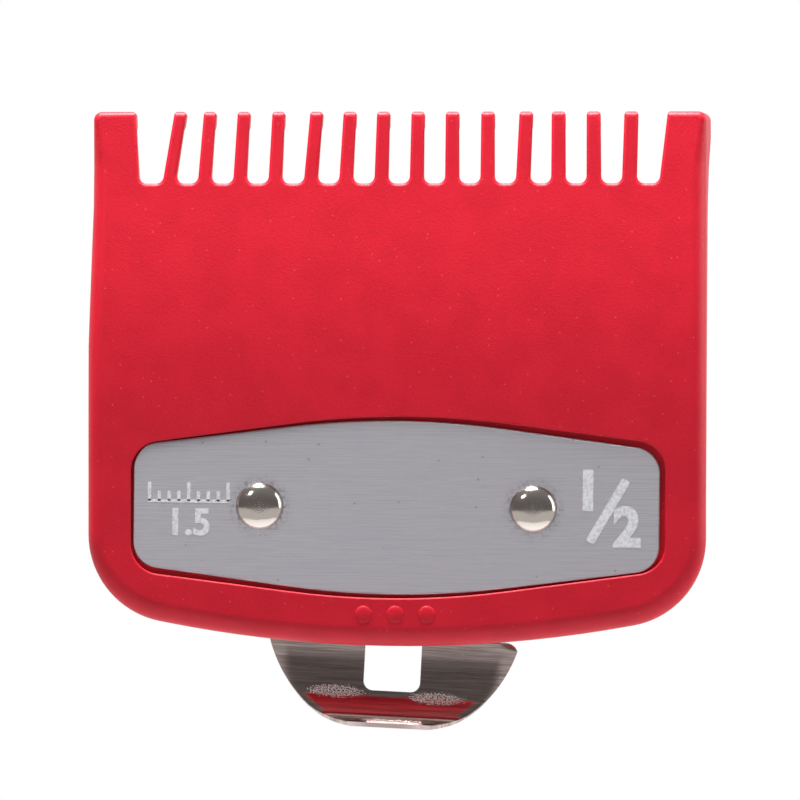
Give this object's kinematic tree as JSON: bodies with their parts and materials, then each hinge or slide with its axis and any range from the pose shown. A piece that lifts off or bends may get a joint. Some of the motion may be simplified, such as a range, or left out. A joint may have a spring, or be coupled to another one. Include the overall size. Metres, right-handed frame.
{
  "type": "clipper guard comb",
  "caption": "Guard comb for a hair clipper: moulded comb with thin teeth, riveted steel plate outside and a sprung steel clip that grips the blade's heel.",
  "frame": {"origin": "middle of the blade seat, the flat inner face that the clipper's fixed blade lies on, half way up the moulding", "axes": "+Z towards the tooth tips, +Y out of the blade seat towards the clipper, so the badge plate faces -Y, and +X to the right when the plate is looked at"},
  "size_m": [0.0488, 0.01, 0.0489],
  "materials": {
    "moulded_plastic": "satin injection-moulded nylon",
    "brushed_plate": "fine horizontal brushing",
    "rivet_nickel": "nickel-plated steel, polished",
    "spring_steel": "bright rolled spring steel"
  },
  "bodies": {
    "root": {"comb_body": "moulded_plastic", "badge_plate": "brushed_plate", "rivet_left": "rivet_nickel", "rivet_right": "rivet_nickel", "clip_base": "spring_steel"},
    "lever": {"clip_lever": "spring_steel"}
  },
  "joints": [
    {"name": "clip_flex", "type": "hinge", "parent": "root", "child": "lever", "pos_m": [-0.00042, -0.0009, -0.01868], "axis": [-0.9986, 0, 0.0523], "range_deg": [0, 12], "stiffness_Nm_per_rad": 0.9}
  ]
}
